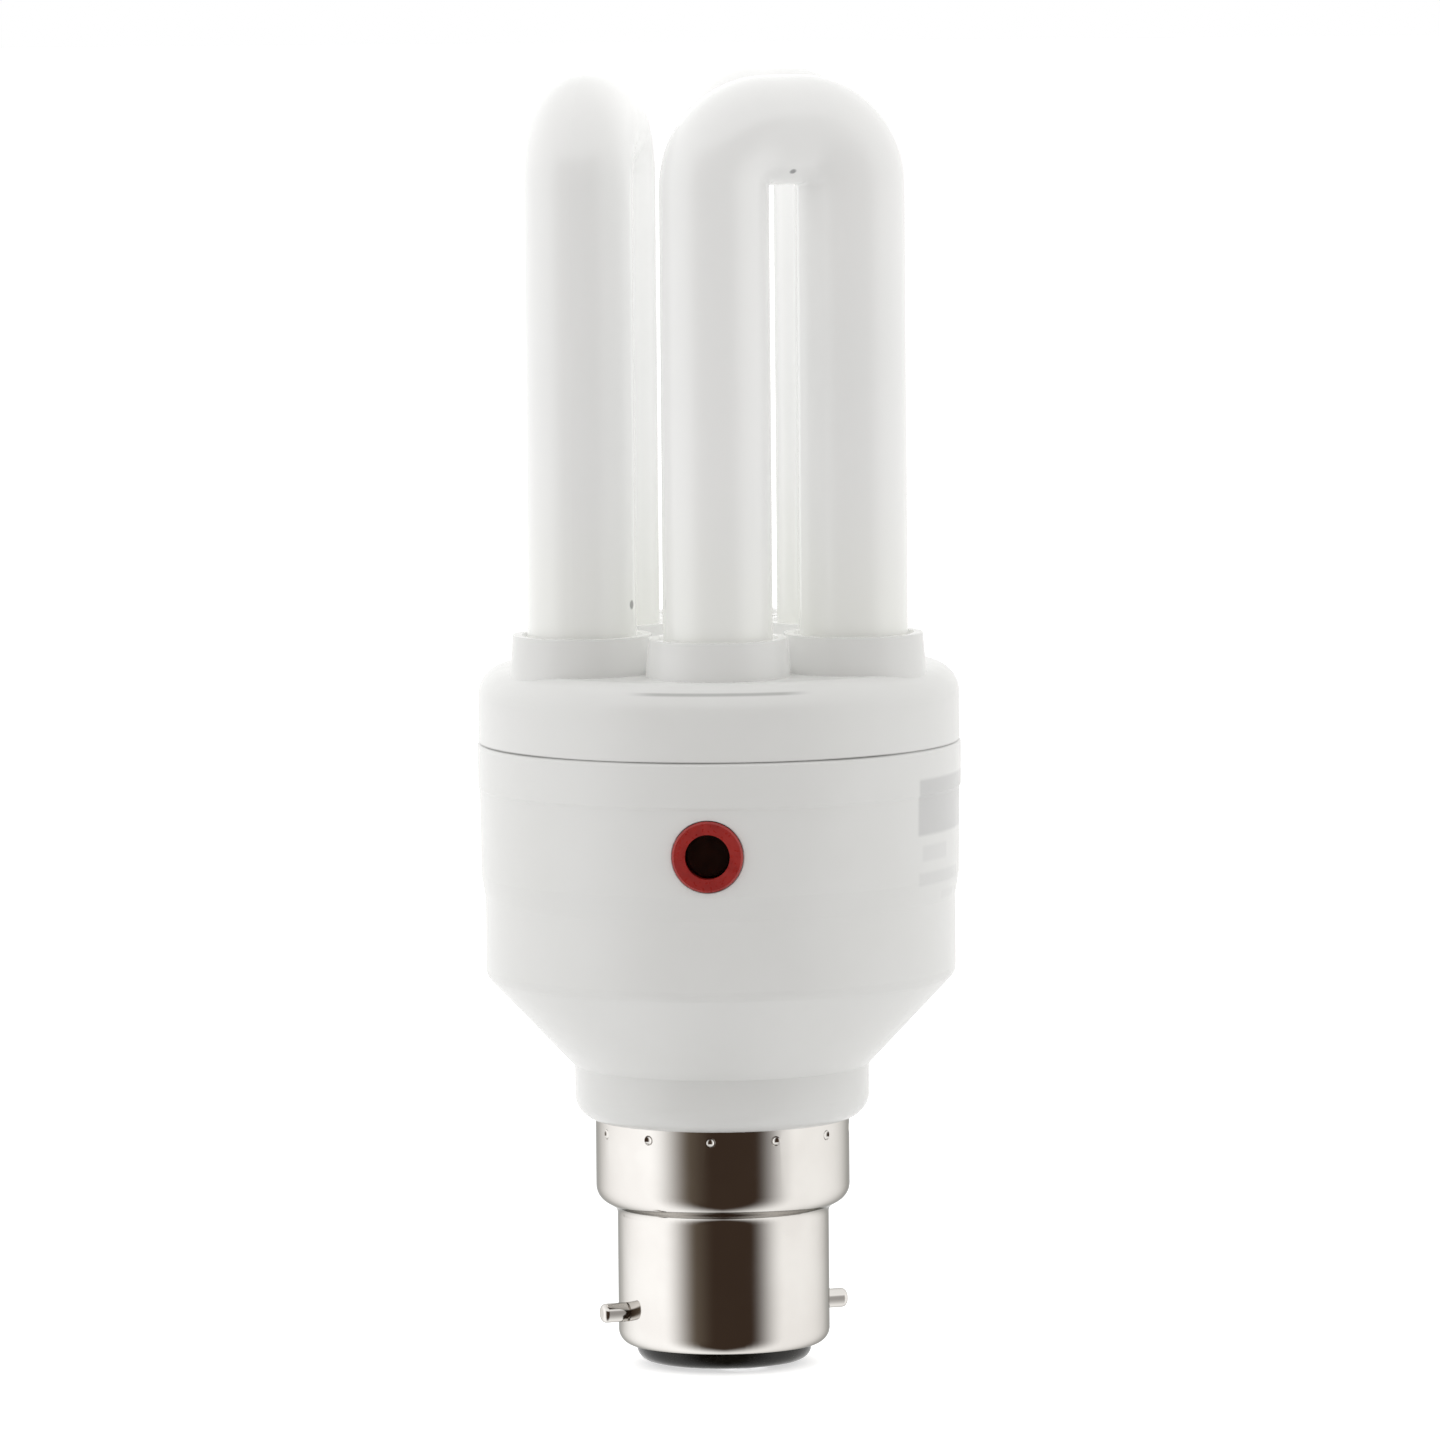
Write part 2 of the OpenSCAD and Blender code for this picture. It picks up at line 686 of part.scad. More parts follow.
module sensor_ring() {
    r = window_d / 2;
    bevel = 0.2;
    color("darkred")
    rotate([0, 0, sensor_dir]) translate([seat_x() + snug, 0, z0 + sensor_z])
        rotate([0, 90, 0]) difference() {
            union() {
                rotate_extrude($fn = 64) difference() {
                    polygon([[0, 0], [ring_d / 2, 0], [ring_d / 2, flange_h - bevel],
                        [ring_d / 2 - bevel, flange_h], [0, flange_h]]);
                    translate([0, -cut]) square([r, flange_h + 2 * cut]);
                }
                translate([0, 0, -sleeve_h]) difference() {
                    cylinder(r = sleeve_d / 2, h = sleeve_h + snug, $fn = 64);
                    translate([0, 0, -cut])
                        cylinder(r = r + fit, h = sleeve_h + 2 * cut, $fn = 64);
                }
            }
            translate([0, 0, -cut]) cylinder(r = r, h = 2 * cut + flange_h, $fn = 64);
        }
}

// The photocell is a small round body behind an eight-sided dark face
module photocell() {
    face = flange_h - window_depth;
    plate = 0.4;
    color("black")
    rotate([0, 0, sensor_dir]) translate([seat_x() + snug, 0, z0 + sensor_z])
        rotate([0, 90, 0]) {
            translate([0, 0, face - photocell_h])
                cylinder(r = window_d / 2, h = photocell_h - plate, $fn = 64);
            translate([0, 0, face - plate - snug]) rotate([0, 0, 22.5])
                cylinder(r = window_d / 2 - fit, h = plate + snug, $fn = 8);
        }
}

module sensor_leads() {
    back = seat_x() + flange_h - window_depth - photocell_h;
    sweep = 2.6;
    inward = turned(-sweep, sensor_dir);
    inwards = [inward[0], inward[1], 0];
    color("silver")
    for (i = [0, 1]) {
        s = (i == 0 ? -1 : 1) * sensor_lead_half;
        p = sensor_pads[i];
        a = turned(back, sensor_dir) + turned(s, sensor_dir + 90);
        start = [a[0], a[1], z0 + sensor_z];
        wire(concat([start],
            bent(start + inwards * 0.2, inwards,
                [p[0], p[1], z0 + board_low_z - lead_d], [0, 0, sweep], 8),
            [[p[0], p[1], z0 + board_z + lead_end]]), lead_d / 2);
    }
}

module circuit_board() {
    color("peru")
    difference() {
        translate([0, 0, z0 + board_low_z]) cylinder(r = board_r, h = board_t);
        for (p = all_pads)
            rod(p, lead_d / 2 + fit, board_low_z - cut, board_z + cut);
        for (p = supply_pads)
            rod(p, core_d / 2 + fit, board_low_z - cut, board_z + cut);
        for (p = posts) translate([p[0], p[1], z0 + board_low_z - cut])
            linear_extrude(board_t + 2 * cut) square(post_w + fit, center = true);
    }
}

module electrolytic_capacitor() {
    r = electrolytic_d / 2;
    top = board_low_z - stand_off;
    low_end = [electrolytic_at[0], electrolytic_at[1], z0 + top - electrolytic_h];
    can_round = 0.5;
    crimp_r = 0.6;
    crimp_depth = 0.4;
    crimp_drop = 2;
    score = 0.4;
    color("midnightblue")
    difference() {
        union() {
            translate(low_end) rotate_extrude($fn = 64) difference() {
                union() {
                    translate([0, can_round]) square([r, electrolytic_h - can_round]);
                    square([r - can_round, 2 * can_round]);
                    translate([r - can_round, can_round]) circle(r = can_round, $fn = 32);
                }
                translate([r + crimp_r - crimp_depth, electrolytic_h - crimp_drop])
                    circle(r = crimp_r, $fn = 32);
            }
            pins_up(electrolytic_pads, top - cut);
        }
        // Cross-shaped score on the lower end
        for (a = [0, 90]) translate(low_end) rotate([0, 0, a])
            cube([electrolytic_d * 0.6, score, score], center = true);
    }
}

// Choke: an E-shaped core with its middle leg along Y, and a bobbin on that leg
choke_leg = 4;
yoke = choke_leg / 2;
bobbin_foot_h = 0.4;
bobbin_foot_t = 2.4;
bobbin_post_w = 1.6;
choke_top = board_low_z - stand_off - bobbin_foot_h;
window_h = (choke_h - choke_leg) / 2 - yoke;
window_l = choke_w - 2 * yoke;
bobbin_l = window_l - 2 * fit;
bobbin_wall = 0.6;
bobbin_flange = 0.8;
bobbin_h = choke_leg + 2 * window_h - 2 * fit;
module at_choke() {
    translate([choke_at[0], choke_at[1], z0 + choke_top - choke_h / 2]) children();
}

module choke_core() {
    color("dimgray") at_choke() difference() {
        cube([choke_t, choke_w, choke_h], center = true);
        for (side = [-1, 1])
            translate([0, 0, side * (choke_leg + window_h) / 2])
                cube([choke_t + cut, window_l, window_h], center = true);
    }
}

module choke_bobbin() {
    hole = [choke_t + 2 * fit, bobbin_l + cut, choke_leg + 2 * fit];
    foot_w = winding_t - 2 * bobbin_wall;
    color("gold") at_choke() difference() {
        union() {
            cube([hole[0] + 2 * bobbin_wall, bobbin_l, hole[2] + 2 * bobbin_wall],
                center = true);
            for (side = [-1, 1]) {
                translate([0, side * (bobbin_l - bobbin_flange) / 2, 0]) {
                    cube([winding_t + 4 * fit, bobbin_flange, bobbin_h], center = true);
                    for (x = [-1, 1]) translate([x * (foot_w - bobbin_post_w) / 2, 0,
                        (choke_h / 2 + bobbin_foot_h) / 2])
                            cube([bobbin_post_w, bobbin_flange,
                                choke_h / 2 + bobbin_foot_h], center = true);
                }
                // Foot that stands under the board and holds the leads
                translate([0, side * (bobbin_l - bobbin_foot_t) / 2,
                    (choke_h + bobbin_foot_h + snug) / 2])
                        cube([foot_w, bobbin_foot_t, bobbin_foot_h - snug], center = true);
            }
        }
        cube(hole, center = true);
    }
    color("silver") pins_up(choke_pads, choke_top + fit);
}

module choke_winding() {
    l = bobbin_l - 2 * bobbin_flange - fit;
    turns = 8;
    inset = 0.5;
    wave = 0.3;
    inner = 2 * (fit + bobbin_wall + snug);
    color("orangered") at_choke() rotate([90, 0, 0]) difference() {
        for (i = [0:turns - 1])
            translate([0, 0, -l / 2 + (i + 0.5) * l / turns])
                linear_extrude(l / turns + snug, center = true)
                    square([winding_t - inset - wave * (i % 2),
                        bobbin_h - inset - wave * (i % 2)], center = true);
        cube([choke_t + inner, choke_leg + inner, l + cut], center = true);
    }
}

// Ring transformer: thickness of its wire and height of the ring's middle
toroid_wire = 0.5;
toroid_z = board_low_z - stand_off - toroid_wire - toroid_h / 2;

module ring_transformer_core() {
    color("darkslategray")
    translate([toroid_at[0], toroid_at[1], z0 + toroid_z - toroid_h / 2])
        rotate_extrude($fn = 64) translate([toroid_d / 4, 0])
            square([toroid_d / 4, toroid_h]);
}

// Three windings of a few turns, each turn a square loop round the ring
module ring_transformer_windings() {
    w = toroid_d / 4;
    t = toroid_wire;
    turn_step = 26;
    color("crimson")
    for (g = [0:2]) for (k = [-1:1])
        translate([toroid_at[0], toroid_at[1], z0 + toroid_z])
            rotate([0, 0, g * 120 + k * turn_step]) translate([1.5 * w, 0, 0])
                difference() {
                    cube([w + 2 * t, t, toroid_h + 2 * t], center = true);
                    cube([w + 2 * snug, t + cut, toroid_h + 2 * snug], center = true);
                }
    color("crimson") for (p = toroid_pads) {
        d = toroid_at - p;
        pins_up([p], toroid_z);
        translate([p[0], p[1], z0 + toroid_z])
            rotate([0, 90, atan2(d[1], d[0])]) cylinder(r = t / 2, h = t, $fn = 16);
    }
}

module transistor(at, pads) {
    drop = 1.2;
    hole_r = 1.5;
    hole_z = 3.2;
    top = board_low_z - stand_off - drop;
    color("black") translate([at[0] - transistor_w / 2, at[1] - transistor_t / 2,
        z0 + top - transistor_h]) difference() {
            cube([transistor_w, transistor_t, transistor_h]);
            translate([transistor_w / 2, -cut, hole_z]) rotate([-90, 0, 0])
                cylinder(r = hole_r, h = transistor_t + 2 * cut, $fn = 32);
        }
    color("silver") pins_up(pads, top - lead_root);
}

module film_capacitor(at, pads, l, h, tone) {
    c = 0.8;
    color(tone) translate([at[0], at[1], z0 + board_low_z - stand_off - h])
        linear_extrude(h) polygon([for (q = [[1, 1], [-1, 1], [-1, -1], [1, -1]])
            for (k = (q[0] * q[1] > 0 ? [0, 1] : [1, 0]))
                [q[0] * (l / 2 - k * c), q[1] * (film_t / 2 - (1 - k) * c)]]);
    color("silver") pins_up(pads, board_low_z - stand_off - lead_root);
}

// A drum core wound with wire
module filter_coil() {
    r = coil_d / 2;
    end_h = 1.4;
    wound_in = 0.6;
    top = board_low_z - stand_off;
    color("dimgray") translate([coil_at[0], coil_at[1], z0 + top - coil_h])
        rotate_extrude($fn = 64) union() {
            square([r, end_h]);
            translate([0, coil_h - end_h]) square([r, end_h]);
            square([r - wound_in, coil_h]);
        }
    color("silver") pins_up(coil_pads, top - lead_root);
}

// A resistor that stands on one end, with its other lead bent back down
module fuse_resistor() {
    r = 1.5;
    h = 8;
    end_h = 1.6;
    end_in = 0.4;
    waist = 0.3;
    drop = 0.8;
    loop = [0, 0, 2.4];
    top = board_low_z - stand_off - drop;
    a = fuse_pads[0];
    b = fuse_pads[1];
    low = z0 + top - h;
    color("lightsteelblue") translate([a[0], a[1], low])
        rotate_extrude($fn = 48) union() {
            square([r - waist, h]);
            translate([0, end_in]) square([r, end_h]);
            translate([0, h - end_in - end_h]) square([r, end_h]);
        }
    color("silver") {
        pins_up([a], top - lead_root);
        wire(concat(bent([a[0], a[1], low + lead_root], -loop,
            [b[0], b[1], low + lead_d], loop, 10),
            [[b[0], b[1], z0 + board_z + lead_end]]), lead_d / 2);
    }
}

// An axial part that lies along local X, with both leads bent to the board
module axial(l, r, half, drop, waist) {
    end_l = 0.26 * l;
    rotate([0, 90, 0]) rotate_extrude($fn = 48) union() {
        translate([0, -l / 2]) square([r - waist, l]);
        for (z = [-l / 2, l / 2 - end_l]) translate([0, z]) square([r, end_l]);
    }
    for (side = [-1, 1]) {
        wire(concat([[side * (l / 2 - lead_root), 0, 0]],
            bent([side * (l / 2 + fit), 0, 0], [side * lead_d, 0, 0],
                [side * half, 0, drop * 0.5], [0, 0, drop * 0.3], 5),
            [[side * half, 0, drop]]), lead_d / 2);
    }
}

// Four diodes lie side by side on top of the board
module rectifier_diodes() {
    color("black") for (i = [0:3])
        translate([0, (i - 1.5) * diode_pitch, z0 + board_z + diode_d / 2 + snug])
            axial(diode_l, diode_d / 2, diode_l / 2 + 1,
                -(diode_d / 2 + board_t + stub), 0.1);
}

// Three resistors lie under the board, near its edge
module resistors() {
    color("tan") for (a = resistor_turns) {
        p = turned(resistor_out, a);
        translate([p[0], p[1], z0 + board_low_z - resistor_d / 2 - snug])
            rotate([0, 0, a + 90])
                axial(resistor_l, resistor_d / 2, resistor_l / 2 + 0.9,
                    resistor_d / 2 + board_t + lead_end, 0.2);
    }
}

module wire_posts() {
    color("silver") for (p = posts)
        translate([p[0], p[1], z0 + board_low_z - stub])
            linear_extrude(board_t + post_h + stub) square(post_w, center = true);
}

// Where the tube's four lead wires come out of the glass
lead_in = 2;
lead_half = 1.6;
function lead_start(p, side) = toward_axis(p, lead_in)
    + turned(side * lead_half, atan2(p[1], p[0]) + 90);
function lead_starts() = [for (p = end_limbs) for (side = [-1, 1]) lead_start(p, side)];

// Each wire leaves the glass, runs to its post and ends in a turn round it
module tube_leads() {
    starts = lead_starts();
    z = z0 + board_z + post_h / 2;
    sweep = [0, 0, -2.4];
    turn_r = post_w * sqrt(0.5) + tube_wire_d / 2 + snug;
    color("silver") for (i = [0:3]) {
        s = starts[i];
        q = posts[i];
        d = unit(q - s);
        e = q - d * turn_r;
        wire(bent([s[0], s[1], z0 + tube_end_z + cut / 2], sweep,
            [e[0], e[1], z], [d[0], d[1], 0] / 2, 10), tube_wire_d / 2);
        translate([q[0], q[1], z]) rotate_extrude($fn = 48)
            translate([turn_r, 0]) circle(r = tube_wire_d / 2, $fn = 24);
    }
}

// A supply lead runs from a contact's shank up through the neck to the board
module supply_lead(side) {
    at = contact_at(side);
    pad = supply_pads[side > 0 ? 1 : 0];
    straight = 1.5;
    low = insulator_boss_z + shank_end + lead_root;
    high = board_low_z - straight;
    sweep = [0, 0, 0.4 * (high - low)];
    color("crimson") translate([0, 0, z0])
        wire(concat([[at[0], at[1], low]],
            bent([at[0], at[1], low + straight], sweep,
                [pad[0], pad[1], high - straight], sweep, 16),
            [[pad[0], pad[1], high]]), supply_d / 2);
    color("peru") {
        rod(at, core_d / 2, contact_h + fit, low + lead_root);
        rod(pad, core_d / 2, high - lead_root, board_z + lead_end);
    }
}

discharge_tube();
tube_cement();
cover();
housing();
sensor_ring();
photocell();
sensor_leads();
cap_shell();
bayonet_pin(pin_turn + 180);  // bayonet_pin_left
bayonet_pin(pin_turn);  // bayonet_pin_right
cap_insulator();
contact(-1);  // contact_front
contact(1);  // contact_rear
circuit_board();
electrolytic_capacitor();
choke_core();
choke_bobbin();
choke_winding();
ring_transformer_core();
ring_transformer_windings();
transistor(front_transistor_at, front_transistor_pads);  // transistor_front
transistor(rear_transistor_at, rear_transistor_pads);  // transistor_rear
film_capacitor(resonant_at, resonant_pads, film_l, film_h, "firebrick");  // resonant_capacitor
film_capacitor(coupling_at, coupling_pads, film_l, 0.8 * film_h, "darkgreen");  // coupling_capacitor
filter_coil();
fuse_resistor();
rectifier_diodes();
resistors();
wire_posts();
tube_leads();
supply_lead(-1);  // supply_lead_front
supply_lead(1);  // supply_lead_rear
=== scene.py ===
"""Compact fluorescent lamp with three U tubes, a dusk sensor and a bayonet cap.

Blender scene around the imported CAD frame: materials, camera, floor and light.
Metres, +Z up, the sensor at -Y, the contacts' domes on height 0.
"""

import math

import bpy
from mathutils import Matrix, Vector

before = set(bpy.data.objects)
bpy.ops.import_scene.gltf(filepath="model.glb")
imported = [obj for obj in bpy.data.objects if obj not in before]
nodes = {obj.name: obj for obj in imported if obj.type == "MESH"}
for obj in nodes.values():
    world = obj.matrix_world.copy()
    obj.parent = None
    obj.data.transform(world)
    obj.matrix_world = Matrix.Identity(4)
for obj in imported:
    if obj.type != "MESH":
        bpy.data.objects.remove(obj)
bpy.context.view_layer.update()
scene = bpy.context.scene
MM = 0.001


# ---------------------------------------------------------------- materials
class Paint:
    """A procedural material. A number or tuple sets a socket, a socket links to it."""

    def __init__(self, name, colour, roughness, **values):
        self.material = bpy.data.materials.new(name)
        self.material.use_nodes = True
        self.tree = self.material.node_tree
        self.tree.nodes.clear()
        out = self.tree.nodes.new("ShaderNodeOutputMaterial")
        self.shader = self.tree.nodes.new("ShaderNodeBsdfPrincipled")
        self.tree.links.new(self.shader.outputs[0], out.inputs["Surface"])
        self.place = self.node("ShaderNodeTexCoord").outputs["Object"]
        self.set("Base Color", (*colour, 1))
        self.set("Roughness", roughness)
        for key, value in values.items():
            self.set(key.replace("_", " "), value)

    def set(self, key, value):
        self.feed(self.shader.inputs[key], value)

    def feed(self, socket, value):
        if isinstance(value, bpy.types.NodeSocket):
            self.tree.links.new(value, socket)
        else:
            socket.default_value = value

    def node(self, kind, inputs=(), **settings):
        made = self.tree.nodes.new(kind)
        for key, value in settings.items():
            setattr(made, key, value)
        for key, value in dict(inputs).items():
            self.feed(made.inputs[key], value)
        return made

    def math(self, operation, a, b=0.0, c=0.0):
        return self.node("ShaderNodeMath", {0: a, 1: b, 2: c}, operation=operation).outputs[0]

    def axis(self, index):
        return self.node("ShaderNodeSeparateXYZ", {0: self.place}).outputs[index]

    def from_axis(self):
        """Distance from the lamp's upright axis."""
        flat = self.node("ShaderNodeVectorMath", {0: self.place, 1: (1, 1, 0)},
                         operation="MULTIPLY").outputs[0]
        return self.node("ShaderNodeVectorMath", {0: flat}, operation="LENGTH").outputs["Value"]

    def noise(self, scale, detail=3.0, stretch=(1, 1, 1), roughness=0.5):
        spot = self.node("ShaderNodeMapping", {"Vector": self.place, "Scale": stretch})
        return self.node("ShaderNodeTexNoise", {
            "Vector": spot.outputs[0], "Scale": scale, "Detail": detail,
            "Roughness": roughness}).outputs["Fac"]

    def ease(self, value, low, high, start=0.0, end=1.0):
        """Start below low and end above high, smooth between them."""
        return self.node("ShaderNodeMapRange", {
            "Value": value, "From Min": low, "From Max": high, "To Min": start,
            "To Max": end}, interpolation_type="SMOOTHSTEP").outputs[0]

    def blend(self, share, a, b):
        a, b = [(*c, 1) if isinstance(c, tuple) and len(c) == 3 else c for c in (a, b)]
        made = self.node("ShaderNodeMix", data_type="RGBA")
        self.feed(made.inputs[0], share)
        self.feed(made.inputs[6], a)
        self.feed(made.inputs[7], b)
        return made.outputs[2]

    def near(self, point, radius, soft=0.5):
        """1 within the radius of a point, 0 outside."""
        gap = self.node("ShaderNodeVectorMath", {0: self.place, 1: point},
                        operation="DISTANCE").outputs["Value"]
        return self.ease(gap, radius * soft, radius, 1.0, 0.0)

    def relief(self, height, depth, strength=1.0, under=None):
        inputs = {"Height": height, "Distance": depth, "Strength": strength}
        if under is not None:
            inputs["Normal"] = under
        made = self.node("ShaderNodeBump", inputs).outputs[0]
        self.set("Normal", made)
        return made


def varied(paint, tone, other, scale=180.0, share=1.0):
    """Slow variation between two tones, as on any real surface."""
    cloud = paint.ease(paint.noise(scale), 0.35, 0.65, 0.0, share)
    colour = paint.blend(cloud, tone, other)
    paint.set("Base Color", colour)
    return colour


def milky_glass():
    """White phosphor behind clear glass, with a painted glow that stands in for the bright
    room's light coming through it.
    """
    p = Paint("milky_glass", (0.9, 0.9, 0.89), 0.35, Coat_Weight=1.0,
              Coat_Roughness=0.05, Coat_IOR=1.5, IOR=1.45)
    white, low_tint, cloud_tone = (0.9, 0.9, 0.895), (0.875, 0.88, 0.845), (0.87, 0.875, 0.87)
    colour = p.blend(p.ease(p.axis(2), 0.072, 0.098, 1.0, 0.0), white, low_tint)
    colour = p.blend(p.ease(p.noise(55, 4), 0.35, 0.75, 0.0, 0.6), colour, cloud_tone)
    # Two small dark specks in the coat
    colour = p.blend(p.near((-0.00885, -0.01026, 0.0802), 0.0006), colour, (0.3, 0.3, 0.3))
    colour = p.blend(p.near((0.008, -0.0145, 0.125), 0.0005), colour, (0.35, 0.35, 0.36))
    p.set("Base Color", colour)
    # Painted glow in the glass's own colour, standing in for room light shining through
    p.set("Emission Color", colour)
    # Painted glow, stronger on the sides that face the lamp's axis, stands in for light held
    # between the limbs
    p.set("Emission Strength", p.ease(p.from_axis(), 0.0105, 0.0165, 0.18, 0.1))
    p.relief(p.noise(240, 1), 0.00004, 0.1)
    return p


def white_plastic():
    p = Paint("white_plastic", (0.87, 0.87, 0.86), 0.22, IOR=1.5)
    colour = varied(p, (0.872, 0.873, 0.863), (0.857, 0.858, 0.845), 70)
    turn = p.math("ARCTAN2", p.axis(0), p.math("MULTIPLY", p.axis(1), -1.0))
    side = p.math("ABSOLUTE", turn)

    def band(value, low, high, soft):
        rise = p.ease(value, low - soft, low + soft)
        fall = p.ease(value, high - soft, high + soft, 1.0, 0.0)
        return p.math("MULTIPLY", rise, fall)

    def patch(low_turn, high_turn, low_mm, high_mm, soft_mm=0.25):
        across = band(turn, math.radians(low_turn), math.radians(high_turn), 0.012)
        up = band(p.axis(2), low_mm * MM, high_mm * MM, soft_mm * MM)
        return p.math("MULTIPLY", across, up)

    # Pale grey printed field and bars on the right of the housing
    for share, tone, *place in (
            (0.85, (0.66, 0.66, 0.66), 55.2, 98, 56.4, 62.2),
            (0.45, (0.74, 0.74, 0.74), 57, 70, 53.7, 55.3),
            (0.5, (0.72, 0.72, 0.72), 55.5, 80, 51.2, 52.5),
            (0.35, (0.74, 0.74, 0.74), 68, 78, 49.4, 50.3)):
        mask = p.math("MULTIPLY", patch(*place), share)
        colour = p.blend(mask, colour, tone)
    # Joint line, darker where the two mouldings stand a little apart
    apart = p.ease(p.noise(60, 1), 0.35, 0.6, 0.3, 0.75)
    seam = p.math("MULTIPLY", band(p.axis(2), 65.08 * MM, 65.34 * MM, 0.08 * MM), apart)
    colour = p.blend(seam, colour, (0.46, 0.46, 0.45))
    # Painted reflection of a dark strip of the room: a thin dark band round the front of the
    # cover's shoulder
    painted_dark_reflection = p.math("MULTIPLY", band(p.axis(2), 71.98 * MM, 72.26 * MM, 0.1 * MM),
                  p.ease(side, 0.25, 0.42, 0.85, 0.0))
    colour = p.blend(painted_dark_reflection, colour, (0.5, 0.5, 0.49))
    p.set("Base Color", colour)
    # Painted glow on the deck between the collars, standing in for the light held there
    p.set("Emission Color", colour)
    p.set("Emission Strength", p.math("MULTIPLY", p.ease(p.axis(2), 0.0725, 0.074),
                                      p.ease(p.from_axis(), 0.012, 0.02, 0.14, 0.0)))
    p.set("Roughness", p.ease(p.noise(400, 2), 0.3, 0.7, 0.2, 0.26))
    p.relief(p.noise(260, 1), 0.00001, 0.1)
    return p


def red_plastic():
    p = Paint("red_plastic", (0.38, 0.02, 0.017), 0.3)
    varied(p, (0.40, 0.024, 0.019), (0.33, 0.018, 0.015), 600)
    p.set("Roughness", p.ease(p.noise(2500, 3), 0.3, 0.7, 0.26, 0.4))
    p.relief(p.noise(3000, 3), 0.00002, 0.3)
    return p


def dark_window():
    p = Paint("dark_window", (0.01, 0.003, 0.002), 0.12)
    varied(p, (0.010, 0.003, 0.002), (0.018, 0.005, 0.003), 900)
    p.set("Roughness", p.ease(p.noise(1500, 3), 0.3, 0.7, 0.08, 0.2))
    return p


def nickel():
    p = Paint("nickel", (0.8, 0.77, 0.74), 0.09, Metallic=1.0)
    varied(p, (0.82, 0.795, 0.765), (0.78, 0.75, 0.72), 140)
    p.set("Specular Tint", (0.35, 0.35, 0.34, 1))
    p.set("Roughness", p.ease(p.noise(300, 3), 0.3, 0.75, 0.06, 0.12))
    p.relief(p.noise(120, 1), 0.00002, 0.1)
    return p


def plain(name, tone, other, low, high, scale=500.0, depth=0.00002, **values):
    """A finish with two tones, a varied gloss and a fine grain."""
    p = Paint(name, tone, (low + high) / 2, **values)
    varied(p, tone, other, scale)
    p.set("Roughness", p.ease(p.noise(scale * 2, 4), 0.3, 0.7, low, high))
    p.relief(p.noise(scale * 5, 3), depth, 0.3)
    return p


finishes = {
    "milky_glass": milky_glass(),
    "white_plastic": white_plastic(),
    "red_plastic": red_plastic(),
    "dark_window": dark_window(),
    "nickel": nickel(),
    "black_insulator": plain("black_insulator", (0.007, 0.006, 0.005), (0.014, 0.013, 0.01),
                             0.15, 0.3, 400, Specular_IOR_Level=0.35),
    "solder": plain("solder", (0.55, 0.55, 0.56), (0.42, 0.42, 0.44), 0.25, 0.5, 900,
                    Metallic=1.0),
    "board": plain("board", (0.38, 0.24, 0.09), (0.32, 0.19, 0.07), 0.45, 0.65, 300),
    "cement": plain("cement", (0.72, 0.69, 0.6), (0.6, 0.57, 0.48), 0.7, 0.95, 700, 0.0001),
    "capacitor_sleeve": plain("capacitor_sleeve", (0.012, 0.02, 0.06), (0.016, 0.028, 0.08),
                              0.25, 0.4, 300),
    "ferrite": plain("ferrite", (0.035, 0.035, 0.04), (0.06, 0.06, 0.065), 0.55, 0.8, 900,
                     0.00005),
    "yellow_plastic": plain("yellow_plastic", (0.75, 0.5, 0.08), (0.68, 0.43, 0.06), 0.35,
                            0.5, 400),
    "enamelled_wire": plain("enamelled_wire", (0.5, 0.16, 0.04), (0.38, 0.1, 0.03), 0.2, 0.4,
                            1500, Metallic=0.7),
    "black_plastic": plain("black_plastic", (0.018, 0.018, 0.019), (0.028, 0.028, 0.028),
                           0.4, 0.6, 700),
    "red_film": plain("red_film", (0.42, 0.05, 0.03), (0.36, 0.035, 0.025), 0.2, 0.35, 300),
    "green_film": plain("green_film", (0.03, 0.16, 0.07), (0.025, 0.12, 0.05), 0.2, 0.35,
                        300),
    "resistor_coat": plain("resistor_coat", (0.5, 0.36, 0.2), (0.44, 0.3, 0.16), 0.35, 0.5,
                           500),
    "tinned_wire": plain("tinned_wire", (0.7, 0.7, 0.7), (0.55, 0.55, 0.56), 0.2, 0.35,
                         1200, Metallic=1.0),
    "red_insulation": plain("red_insulation", (0.5, 0.03, 0.02), (0.42, 0.02, 0.015), 0.35,
                            0.5, 500),
}

NODE_FINISH = {
    "discharge_tube": "milky_glass",
    "tube_cement": "cement",
    "cover": "white_plastic",
    "housing": "white_plastic",
    "sensor_ring": "red_plastic",
    "photocell": "dark_window",
    "sensor_leads": "tinned_wire",
    "cap_shell": "nickel",
    "bayonet_pin_left": "nickel",
    "bayonet_pin_right": "nickel",
    "cap_insulator": "black_insulator",
    "contact_front": "solder",
    "contact_rear": "solder",
    "circuit_board": "board",
    "electrolytic_capacitor": "capacitor_sleeve",
    "choke_core": "ferrite",
    "choke_bobbin": "yellow_plastic",
    "choke_winding": "enamelled_wire",
    "ring_transformer_core": "ferrite",
    "ring_transformer_windings": "enamelled_wire",
    "transistor_front": "black_plastic",
    "transistor_rear": "black_plastic",
    "resonant_capacitor": "red_film",
    "coupling_capacitor": "green_film",
    "filter_coil": "ferrite",
    "fuse_resistor": "resistor_coat",
    "rectifier_diodes": "black_plastic",
    "resistors": "resistor_coat",
    "wire_posts": "tinned_wire",
    "tube_leads": "tinned_wire",
    "supply_lead_front": "red_insulation",
    "supply_lead_rear": "red_insulation",
}

for name, node in nodes.items():
    node.data.materials.clear()
    node.data.materials.append(finishes[NODE_FINISH[name]].material)


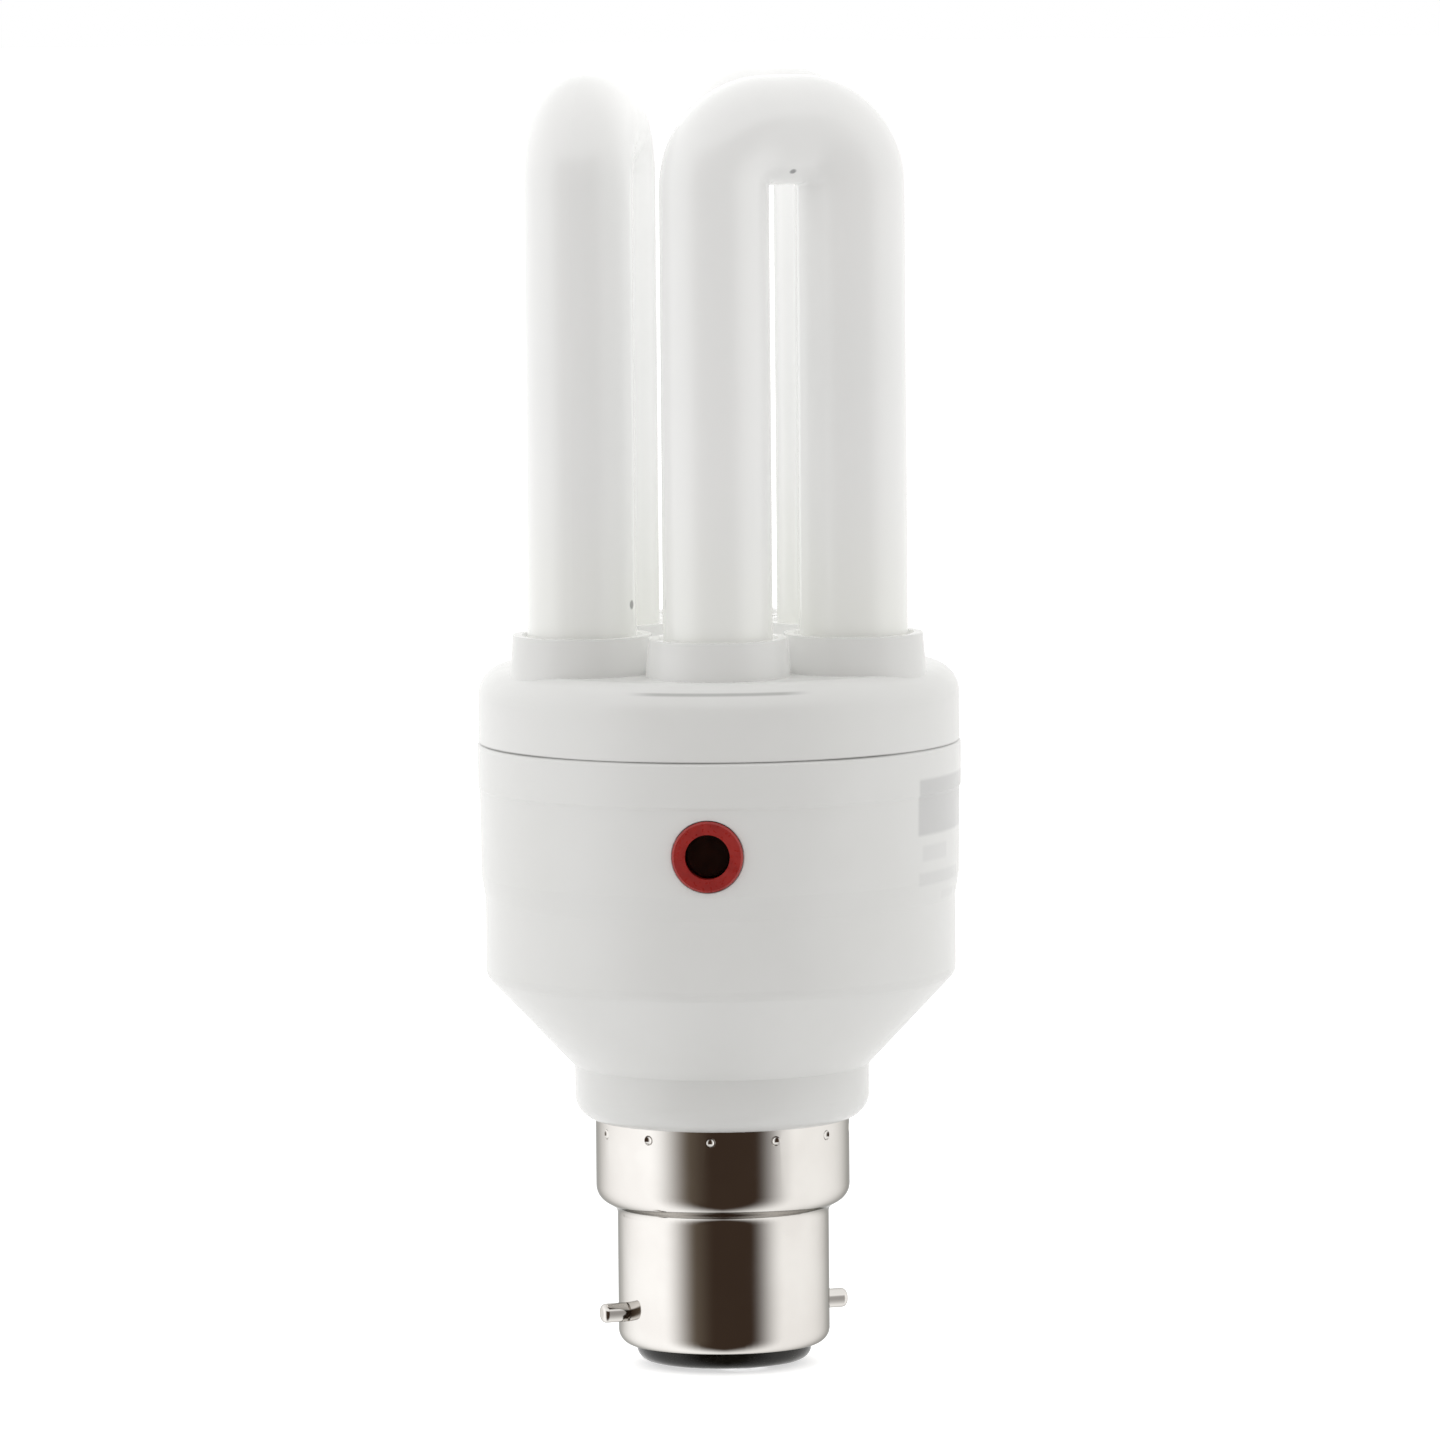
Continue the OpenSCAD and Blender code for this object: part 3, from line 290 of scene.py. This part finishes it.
# ---------------------------------------------------------------- floor
def floor():
    size = 3.0
    mesh = bpy.data.meshes.new("floor")
    mesh.from_pydata([(-size, -size, 0), (size, -size, 0), (size, size, 0), (-size, size, 0)],
                     [], [(0, 1, 2, 3)])
    made = bpy.data.objects.new("floor", mesh)
    scene.collection.objects.link(made)
    p = Paint("floor", (0.86, 0.86, 0.86), 0.8, Specular_IOR_Level=0.0)
    p.set("Emission Color", (1, 1, 1, 1))
    light = p.node("ShaderNodeLightPath")
    p.set("Emission Strength", p.math("MULTIPLY", light.outputs["Is Camera Ray"], 0.6))
    # Seen in polish and from below, the floor gives way to the backdrop
    through = p.node("ShaderNodeBsdfTransparent")
    behind = p.node("ShaderNodeNewGeometry").outputs["Backfacing"]
    share = p.math("MAXIMUM", behind, light.outputs["Is Glossy Ray"])
    mixed = p.node("ShaderNodeMixShader", {0: share, 1: p.shader.outputs[0],
                                           2: through.outputs[0]})
    out = next(n for n in p.tree.nodes if n.type == "OUTPUT_MATERIAL")
    p.tree.links.new(mixed.outputs[0], out.inputs["Surface"])
    mesh.materials.append(p.material)


floor()


# ---------------------------------------------------------------- light
class Sky(Paint):
    """The world's tree, with the same helpers as a material."""

    def __init__(self):
        world = bpy.data.worlds.new("studio")
        world.use_nodes = True
        scene.world = world
        self.tree = world.node_tree
        self.tree.nodes.clear()
        self.place = self.node("ShaderNodeTexCoord").outputs["Generated"]


def studio():
    """White all round, with a dim room in front, which polished metal mirrors."""
    s = Sky()
    split = s.node("ShaderNodeSeparateXYZ", {0: s.place})
    x, y, z = split.outputs
    wedge = s.math("SUBTRACT", s.math("MULTIPLY", y, -1.0), s.math("ABSOLUTE", x))
    dim = s.math("MULTIPLY", s.ease(wedge, -0.62, 0.4), s.ease(z, 0.32, 0.62, 1.0, 0.0))
    tent = s.blend(s.ease(x, -0.5, 0.5), (1.22, 1.22, 1.215), (1.05, 1.045, 1.03))
    tent = s.blend(s.ease(z, 0.35, 0.85), tent, (0.96, 0.96, 0.95))
    dark = s.blend(s.ease(x, -0.65, -0.15), (0.13, 0.105, 0.08), (0.045, 0.029, 0.02))
    room = s.blend(dim, tent, dark)
    seen = s.blend(s.node("ShaderNodeLightPath").outputs["Is Camera Ray"], room, (1, 1, 1))
    back = s.node("ShaderNodeBackground", {"Color": seen, "Strength": 1.0})
    out = s.node("ShaderNodeOutputWorld")
    s.tree.links.new(back.outputs[0], out.inputs["Surface"])


studio()


# ---------------------------------------------------------------- camera
TARGET = Vector((0, 0, 67.2 * MM))
DISTANCE = 1.35
ELEVATION = math.radians(5.6)
ROLL = math.radians(0.5)


def camera():
    data = bpy.data.cameras.new("camera")
    data.sensor_width = 36
    data.lens = 325.45
    data.shift_x = 1 / 1440
    data.clip_start, data.clip_end = 0.1, 20
    made = bpy.data.objects.new("camera", data)
    scene.collection.objects.link(made)
    back = Vector((0, -math.cos(ELEVATION), math.sin(ELEVATION)))
    look = (-back).to_track_quat("-Z", "Y").to_matrix().to_4x4()
    made.matrix_world = (Matrix.Translation(TARGET + DISTANCE * back) @ look
                         @ Matrix.Rotation(-ROLL, 4, "Z"))
    scene.camera = made


camera()
scene.view_settings.view_transform = "Standard"
